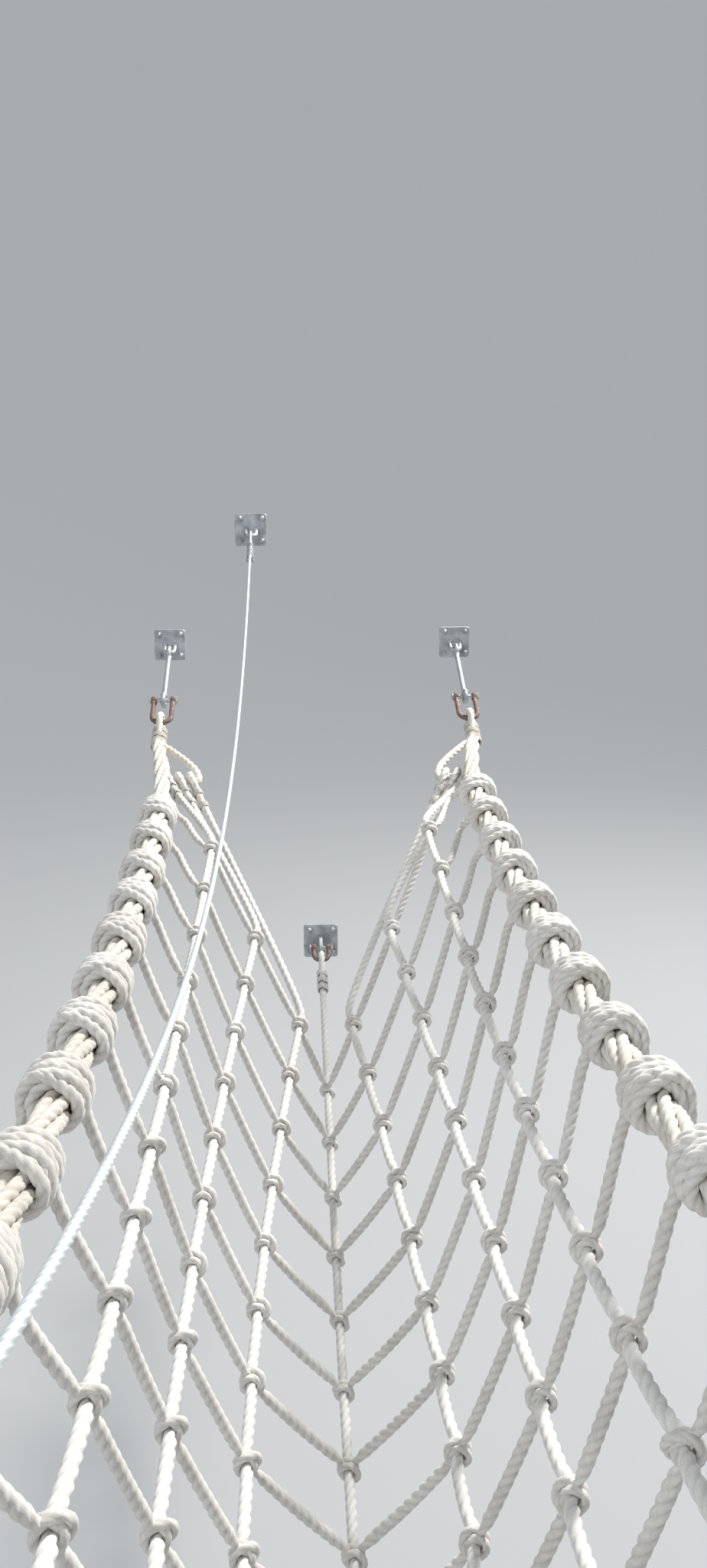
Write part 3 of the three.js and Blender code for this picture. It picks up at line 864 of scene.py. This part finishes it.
def tab_plate(name, slope):
    """A bolted plate with a welded tab for the pin of the foot rope's shackle."""
    piece = Piece(name, "bolted")
    pin = pin_at(FOOT_SHACKLE)
    lean = TAB["root"] * math.tan(math.radians(slope))
    angles = np.radians(np.arange(100, 261, 16))
    nose = [(TAB["round"] * math.cos(a), TAB["round"] * math.sin(a)) for a in angles]
    outline = [(TAB["reach"] - lean, -TAB["root"]), (TAB["reach"] + lean, TAB["root"]), *nose]
    slab(piece, outline, TAB["thick"], 0.001)
    # The slab lies in X and Z: X and Y change places, which also turns its faces inside out
    turned = np.array([[0, 1, 0, -TAB["thick"] / 2], [1, 0, 0, pin], [0, 0, 1, 0], [0, 0, 0, 1]], float)
    piece.moved(turned)
    piece.faces = [face[::-1] for face in piece.faces]
    return plated(piece, slope, pin + TAB["reach"])


# A wire clip: half the distance between its two bent bolts, their size, the saddle and the nuts
CLIP_STEP = 0.007
CLIP_BOLT = {"bow": 0.0115, "leg": 0.030, "radius": 0.0028}
CLIP_SADDLE = [(-0.014, 0.006), (-0.012, 0.013), (0.012, 0.013), (0.014, 0.006)]
CLIP_SADDLE_DROP = 0.018
CLIP_NUT = [(0, 0.0058), (0.0055, 0.0058)]
CLIP_NUT_DROP = 0.022


def wire_clip(piece, centre, along, side):
    """A clip on the safety cable: a saddle, bent bolts and their nuts."""
    reach = CLIP_BOLT["bow"]
    for step in (-CLIP_STEP, CLIP_STEP):
        middle = centre + step * along
        bend = arc(middle, reach, side, RIGHT, range(-90, 91, 30))
        legs = [middle + sign * reach * RIGHT - CLIP_BOLT["leg"] * side for sign in (-1, 1)]
        sweep(piece, [legs[0], *bend, legs[1]], CLIP_BOLT["radius"], ROUND_OUTLINE, look=1)
        for sign in (-1, 1):
            nut = middle + sign * reach * RIGHT - CLIP_NUT_DROP * side
            lathe(piece, CLIP_NUT, nut, -side, 6, look=1)
    lathe(piece, CLIP_SADDLE, centre - CLIP_SADDLE_DROP * side, along, 14, look=1)


# The cable's tail beyond its loop, as distances from the loop's middle and below its line, where
# the cable itself leaves the loop, and how far from there its clips sit
CABLE_TAIL = [(0.055, 0.0125), (0.09, 0.0135), (0.20, 0.015), (0.235, 0.015)]
CABLE_NECK = 0.075
CLIP_PLACES = (0.02, 0.065, 0.11)


def safety_cable(name):
    """The stranded wire rope with its clipped loops."""
    piece = Piece(name, "stranded")
    points = [vec(-CABLE_EYE["x"], k * CABLE_PITCH, CABLE_Z + CABLE_RISE * k * k) + NET
              for k in range(-CABLE_BAYS, CABLE_BAYS + 1, 2)]
    for end in (-1, 1):
        centre = ring_centre(CABLE_EYE, CABLE_LOOP, -1, end)
        along = pull(end, CABLE_EYE["slope"])
        side = np.cross(RIGHT, along)
        side *= math.copysign(1, side[2])
        bend = arc(centre, CABLE_LOOP["hole"] + CABLE_LOOP["tube"], along, side, range(110, -111, -20))
        tail = [*bend, *(centre - distance * along - drop * side for distance, drop in CABLE_TAIL)]
        main = centre - CABLE_NECK * along
        down_cable = unit((points[-1] if end > 0 else points[0]) - main)
        points = lengthened(points, [main, *tail], end)
        for distance in CLIP_PLACES:
            wire_clip(piece, main + distance * down_cable, -along, side)
    sweep(piece, points, CABLE_R, WIRE_OUTLINE, CABLE_LAY, steps=14)
    return piece


def seated(piece, bearing, end, slope):
    """Puts a steel part at its eye: turned round for the near end, tilted if it follows the pull."""
    turn = Matrix.Rotation(math.pi if end < 0 else 0, 4, "Z")
    place = Matrix.Translation(bearing) @ turn @ Matrix.Rotation(math.radians(slope), 4, "X")
    return piece.moved(np.array(place))


# Looks


class Look:
    """A material, and the kinds of nodes that its colours and bumps are made of."""

    def __init__(self, name):
        self.material = bpy.data.materials.new(name)
        self.material.use_nodes = True
        self.nodes = self.material.node_tree.nodes
        self.link = self.material.node_tree.links.new
        self.surface = self.nodes["Principled BSDF"]

    def add(self, kind, *sources):
        """Adds a node and links the sources to its first inputs."""
        node = self.nodes.new(kind)
        for source, socket in zip(sources, node.inputs):
            self.link(source, socket)
        return node

    def noise(self, source, scale, detail, stretch=None):
        if stretch:
            mapping = self.add("ShaderNodeMapping", source)
            mapping.inputs["Scale"].default_value = stretch
            source = mapping.outputs["Vector"]
        node = self.add("ShaderNodeTexNoise", source)
        node.inputs["Scale"].default_value = scale
        node.inputs["Detail"].default_value = detail
        return node.outputs["Fac"]

    def ramp(self, source, low, high):
        """A blend between two greys, each given as a place on the source's scale and a value."""
        node = self.add("ShaderNodeValToRGB", source)
        for element, (place, value) in zip(node.color_ramp.elements, (low, high)):
            element.position = place
            element.color = (value, value, value, 1)
        return node.outputs[0]

    def mixed(self, factor, first, second, blend="MIX"):
        """Two colours mixed by a factor, each a node's output or a plain value."""
        node = self.nodes.new("ShaderNodeMix")
        node.data_type = "RGBA"
        node.blend_type = blend
        for number, value in ((0, factor), (6, first), (7, second)):
            if isinstance(value, bpy.types.NodeSocket):
                self.link(value, node.inputs[number])
            else:
                node.inputs[number].default_value = (*value, 1) if number else value
        return node.outputs[2]

    def bump(self, height, strength, distance):
        node = self.nodes.new("ShaderNodeBump")
        node.inputs["Strength"].default_value = strength
        node.inputs["Distance"].default_value = distance
        self.link(height, node.inputs["Height"])
        self.link(node.outputs["Normal"], self.surface.inputs["Normal"])


# How dense yarns are across and along a rope, and between which shares of its radius grooves lie
YARNS = (1500, 1500, 90)
GROOVE = (0.62, 0.97)
# How far the colour deep in a groove between strands turns to the grime colour: painted shade
GROOVE_SHADE = 0.45


def rope_look(name, radius, fibre, worn, grime_and_groove_shade, wear):
    """Laid fibre rope: yarns along the rope, painted shade in the grooves, and patches of weathering."""
    look = Look(name)
    place = look.add("ShaderNodeAttribute")
    place.attribute_name = "place"
    split = look.add("ShaderNodeSeparateXYZ", place.outputs["Vector"])
    flat = look.add("ShaderNodeCombineXYZ", split.outputs[0], split.outputs[1])
    distance = look.add("ShaderNodeVectorMath", flat.outputs[0])
    distance.operation = "LENGTH"
    depth = look.add("ShaderNodeMapRange", distance.outputs["Value"])
    for socket, value in (("From Min", GROOVE[0] * radius), ("From Max", GROOVE[1] * radius),
                          ("To Min", 1.0), ("To Max", 0.0)):
        depth.inputs[socket].default_value = value
    # Painted shade in the grooves between strands: the deeper into a groove, the nearer the colour comes
    # to the grime colour
    groove = look.add("ShaderNodeMath", depth.outputs["Result"])
    groove.operation = "MULTIPLY"
    groove.inputs[1].default_value = GROOVE_SHADE
    coordinates = look.add("ShaderNodeTexCoord").outputs["Object"]
    patches = look.noise(coordinates, 5.5, 6.0)
    stains = look.noise(coordinates, 60.0, 3.0)
    yarns = look.noise(place.outputs["Vector"], 1.0, 3.0, YARNS)
    colour = look.mixed(look.ramp(patches, (0.40, 0), (0.66, 1)), fibre, worn)
    colour = look.mixed(look.ramp(stains, (0.42, 0), (0.75, wear)), colour, grime_and_groove_shade)
    colour = look.mixed(groove.outputs[0], colour, grime_and_groove_shade)
    colour = look.mixed(1.0, colour, look.ramp(yarns, (0.3, 0.78), (0.7, 1.06)), "MULTIPLY")
    look.link(colour, look.surface.inputs["Base Color"])
    look.surface.inputs["Roughness"].default_value = 0.82
    look.surface.inputs["Sheen Weight"].default_value = 0.25
    look.surface.inputs["Sheen Roughness"].default_value = 0.5
    look.bump(yarns, 0.55, 0.0012)
    return look.material


def steel_look(name, bright, dull, rust, amount, roughness):
    """Galvanised steel with dull patches and, by amount, rust."""
    look = Look(name)
    coordinates = look.add("ShaderNodeTexCoord").outputs["Object"]
    patches = look.noise(coordinates, 22.0, 6.0)
    spots = look.noise(coordinates, 70.0, 8.0)
    edge = 0.72 - 0.45 * amount
    full = edge + 0.12
    colour = look.mixed(look.ramp(patches, (0.35, 0), (0.65, 1)), bright, dull)
    colour = look.mixed(look.ramp(spots, (edge, 0), (full, 1)), colour, rust)
    metal = look.ramp(spots, (edge, 0.9), (full, 0.15))
    rough = look.ramp(patches, (0.3, roughness), (0.7, min(0.95, roughness + 0.25)))
    look.link(colour, look.surface.inputs["Base Color"])
    look.link(metal, look.surface.inputs["Metallic"])
    look.link(rough, look.surface.inputs["Roughness"])
    look.bump(spots, 0.35, 0.0006)
    return look.material


# Each kind of rope: its name and radius, the colours of its fibre, worn fibre and grime (the grime colour
# also paints the shade in the grooves), its stains
ROPE_LOOKS = [
    ("rail_rope", RAIL_ROPE_R, (0.87, 0.84, 0.77), (0.74, 0.69, 0.60), (0.42, 0.36, 0.30), 0.40),
    ("side_rope", SIDE_R, (0.90, 0.89, 0.86), (0.82, 0.80, 0.75), (0.46, 0.43, 0.39), 0.25),
    ("rib_rope", RIB_R, (0.87, 0.85, 0.81), (0.76, 0.73, 0.68), (0.42, 0.38, 0.34), 0.30),
]

# Each kind of steel: its name, its colours bright, dull and rusty, how rusty it is, its roughness
STEEL_LOOKS = [
    ("galvanised_steel", (0.60, 0.63, 0.65), (0.42, 0.44, 0.46), (0.28, 0.15, 0.09), 0.05, 0.50),
    ("bolts", (0.60, 0.61, 0.62), (0.40, 0.41, 0.42), (0.30, 0.15, 0.08), 0.25, 0.42),
    ("rusty_steel", (0.36, 0.31, 0.30), (0.28, 0.21, 0.195), (0.185, 0.125, 0.11), 0.75, 0.60),
    ("shackle_pins", (0.62, 0.62, 0.62), (0.44, 0.42, 0.40), (0.30, 0.16, 0.10), 0.30, 0.45),
    ("wire_rope", (0.78, 0.83, 0.85), (0.66, 0.71, 0.73), (0.30, 0.18, 0.11), 0.03, 0.50),
]


def make_looks():
    """The looks of each slot, in the order in which its pieces count them."""
    rail, side, rib = (rope_look(*values) for values in ROPE_LOOKS)
    bright, bolt, rusty, pin, cable = (steel_look(*values) for values in STEEL_LOOKS)
    ropes = {"rail_rope": [rail], "side_rope": [side], "rib_rope": [rib], "cable_steel": [cable, bright]}
    return {**ropes, "bright_steel": [bright, bolt], "rusty_steel": [rusty, pin]}


# Studio

# The camera's place, its turns in radians, and its focal length in pixels of the photograph
CAMERA = vec(-0.1019, 0.3233, 1.4918)
CAMERA_TURN = {"yaw": -0.0542, "pitch": -0.1851, "roll": 0.0072}
FOCAL_PIXELS = 1472.3
PHOTO_HEIGHT = 2048
SENSOR = 36.0

# The floor: its height, the radius of its flat middle, the radius of the bend, the wall above it
FLOOR_Z = -1.35
FLOOR_FLAT = 13.0
FLOOR_RISE = 9.0
FLOOR_MIDDLE = 0.01
FLOOR_SIDES = 96
WALL = 14.0


def set_camera():
    """The camera as it stood for the photograph."""
    data = bpy.data.cameras.new("camera")
    data.sensor_fit = "VERTICAL"
    data.sensor_height = SENSOR
    data.lens = SENSOR * FOCAL_PIXELS / PHOTO_HEIGHT
    data.clip_start = 0.02
    camera = bpy.data.objects.new("camera", data)
    bpy.context.scene.collection.objects.link(camera)
    camera.matrix_world = (
        Matrix.Translation(CAMERA)
        @ Matrix.Rotation(CAMERA_TURN["yaw"], 4, "Z")
        @ Matrix.Rotation(CAMERA_TURN["pitch"], 4, "X")
        @ Matrix.Rotation(CAMERA_TURN["roll"], 4, "Y")
        @ Matrix.Rotation(math.pi / 2, 4, "X")
    )
    bpy.context.scene.camera = camera


def studio_floor():
    """A pale floor that curves up all round, so that no edge shows from any side."""
    bend = [(FLOOR_FLAT + FLOOR_RISE * math.sin(a), FLOOR_RISE * (1 - math.cos(a)))
            for a in np.radians(np.arange(0, 91, 6))]
    profile = [(FLOOR_MIDDLE, 0), *bend, (FLOOR_FLAT + FLOOR_RISE, FLOOR_RISE + WALL)]
    angles = 2 * math.pi * np.arange(FLOOR_SIDES) / FLOOR_SIDES
    circle = np.column_stack([np.cos(angles), np.sin(angles), np.zeros(FLOOR_SIDES)])
    points = np.vstack([r * circle + vec(0, NET[1], FLOOR_Z + z) for r, z in profile])
    mesh = bpy.data.meshes.new("studio_floor")
    faces = [face[::-1] for face in grid_faces(len(profile), FLOOR_SIDES)]
    mesh.from_pydata(points.tolist(), [], [range(FLOOR_SIDES), *faces])
    mesh.polygons.foreach_set("use_smooth", [True] * len(mesh.polygons))
    look = Look("studio_floor")
    look.surface.inputs["Base Color"].default_value = (0.20, 0.204, 0.208, 1)
    look.surface.inputs["Emission Color"].default_value = (0.94, 0.97, 1.0, 1)
    look.surface.inputs["Emission Strength"].default_value = 0.32
    look.surface.inputs["Roughness"].default_value = 0.9
    mesh.materials.append(look.material)
    floor = bpy.data.objects.new("studio_floor", mesh)
    bpy.context.scene.collection.objects.link(floor)


def area_light(name, place, target, size, power, colour):
    """A square lamp at a place, turned to a target."""
    data = bpy.data.lights.new(name, "AREA")
    data.size = size
    data.energy = power
    data.color = colour
    lamp = bpy.data.objects.new(name, data)
    lamp.location = place
    lamp.visible_camera = False
    lamp.rotation_euler = (Vector(target) - Vector(place)).to_track_quat("-Z", "Y").to_euler()
    bpy.context.scene.collection.objects.link(lamp)


def light_studio():
    """One key light from the right, a soft fill from the left, and a pale sky."""
    middle = (0, float(NET[1]), 0.2)
    area_light("key", (5.0, 6.8, 7.4), middle, 1.5, 1500, (1.0, 0.98, 0.94))
    area_light("fill", (-5.0, -2.0, 5.0), middle, 5.0, 220, (0.90, 0.95, 1.0))
    world = bpy.data.worlds.new("studio")
    world.use_nodes = True
    background = world.node_tree.nodes["Background"]
    background.inputs["Color"].default_value = (0.92, 0.95, 1.0, 1)
    background.inputs["Strength"].default_value = 0.42
    bpy.context.scene.world = world
    bpy.context.scene.view_settings.view_transform = "Standard"


# The bridge


def build_bridge(looks):
    """The ropes and the cable."""
    for side_name, side in SIDES.items():
        handrail(f"handrail_{side_name}", side).build("rail_rope", looks)
        for row, row_name in enumerate(ROWS):
            side_rope(f"side_rope_{side_name}_{row_name}", side, row).build("side_rope", looks)
    foot_rope("foot_rope").build("side_rope", looks)
    for k in RIBS:
        rib(f"rib_rope_{k + LAST_RIB + 1:02d}", k).build("rib_rope", looks)
    safety_cable("safety_cable").build("cable_steel", looks)


def build_ends(looks):
    """The steel that holds the ropes and the cable at both ends."""
    rail, foot, cable = RAIL_EYE["slope"], FOOT_EYE["slope"], CABLE_EYE["slope"]
    for end_name, end in ENDS.items():
        for side_name, side in SIDES.items():
            corner = f"{end_name}_{side_name}"
            bearing = eye_point(RAIL_EYE, side, end)
            bow = shackle(f"shackle_{corner}", RAIL_SHACKLE)
            seated(bow, bearing, end, rail).build("rusty_steel", looks)
            rod = anchor_rod(f"anchor_rod_{corner}")
            seated(rod, bearing, end, rail).build("bright_steel", looks)
            plate = staple_plate(f"anchor_plate_{corner}", rail)
            held = bearing + ROD_BEARING * pull(end, rail)
            seated(plate, held, end, 0).build("bright_steel", looks)
        bearing = eye_point(FOOT_EYE, 1, end)
        bow = shackle(f"foot_shackle_{end_name}", FOOT_SHACKLE)
        seated(bow, bearing, end, foot).build("rusty_steel", looks)
        plate = tab_plate(f"foot_plate_{end_name}", foot)
        seated(plate, bearing, end, 0).build("bright_steel", looks)
        plate = staple_plate(f"cable_plate_{end_name}", cable)
        seated(plate, eye_point(CABLE_EYE, -1, end), end, 0).build("bright_steel", looks)


def main():
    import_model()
    looks = make_looks()
    build_bridge(looks)
    build_ends(looks)
    studio_floor()
    light_studio()
    set_camera()
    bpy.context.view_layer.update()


main()
